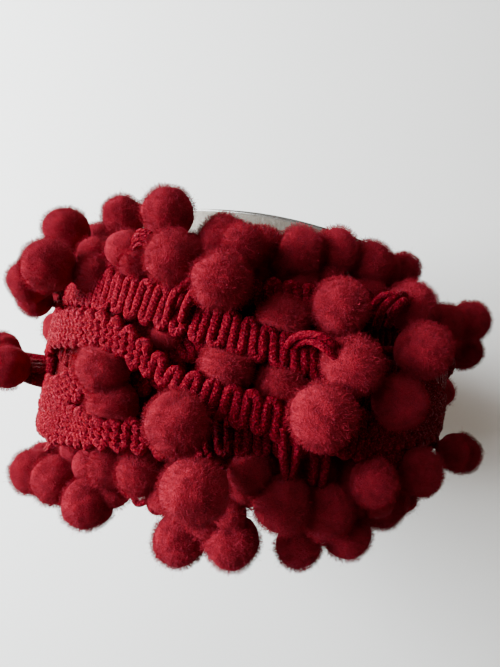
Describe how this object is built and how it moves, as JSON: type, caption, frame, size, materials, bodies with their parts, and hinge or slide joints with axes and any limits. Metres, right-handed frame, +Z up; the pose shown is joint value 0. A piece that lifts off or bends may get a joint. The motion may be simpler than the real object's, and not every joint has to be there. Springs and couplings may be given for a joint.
{
  "type": "roll of pompom trim on a tube core",
  "caption": "Roll of dark red pompom trim: a narrow gimp braid wound criss-cross round an open tube core, with pompoms hanging from it on short cord loops.",
  "frame": {"origin": "on the surface that the roll lies on, at the flat spot of the pompom under the middle of the winding", "axes": "+Z up, +Y along the roll's axis towards the end where the core's rim stands clear of the winding, +X to the right when the roll is seen from above with +Y away from the viewer"},
  "size_m": [0.1349, 0.0748, 0.1323],
  "materials": {
    "core": "greyish beige card tube under a thin clear film, satin",
    "braid": "dark wine-red twisted gimp cord in a serpentine braid, matte with a faint fibre gloss",
    "pompoms": "dark wine-red cut pile balls, matte with a soft paler rim of fibre ends"
  },
  "bodies": {
    "root": {"core": "core", "winding": "braid", "pompoms_edge_far_left": "pompoms", "pompoms_edge_far_right": "pompoms", "pompoms_edge_inner_left": "pompoms", "pompoms_edge_left": "pompoms", "pompoms_edge_near": "pompoms", "pompoms_edge_near_left": "pompoms", "pompoms_edge_near_right": "pompoms", "pompoms_edge_right": "pompoms", "pompoms_lower_near": "pompoms", "pompoms_lower_right": "pompoms", "pompoms_middle_left": "pompoms", "pompoms_middle_near": "pompoms", "pompoms_middle_right": "pompoms", "pompoms_rim_far_left": "pompoms", "pompoms_rim_far_right": "pompoms", "pompoms_rim_left": "pompoms", "pompoms_rim_middle": "pompoms", "pompoms_rim_right": "pompoms", "pompoms_side_far_left": "pompoms", "pompoms_side_left": "pompoms", "pompoms_side_right": "pompoms", "pompoms_under_edge_1": "pompoms", "pompoms_under_edge_2": "pompoms", "pompoms_under_edge_3": "pompoms", "pompoms_under_lower_1": "pompoms", "pompoms_under_lower_2": "pompoms", "pompoms_under_lower_3": "pompoms", "pompoms_under_middle_1": "pompoms", "pompoms_under_middle_2": "pompoms", "pompoms_under_middle_3": "pompoms", "pompoms_under_rim_1": "pompoms", "pompoms_under_rim_2": "pompoms", "pompoms_under_rim_3": "pompoms", "pompoms_under_upper_1": "pompoms", "pompoms_under_upper_2": "pompoms", "pompoms_under_upper_3": "pompoms", "pompoms_upper_far_left": "pompoms", "pompoms_upper_left": "pompoms", "pompoms_upper_middle": "pompoms", "pompoms_upper_near_right": "pompoms", "pompoms_upper_right": "pompoms"}
  },
  "joints": []
}
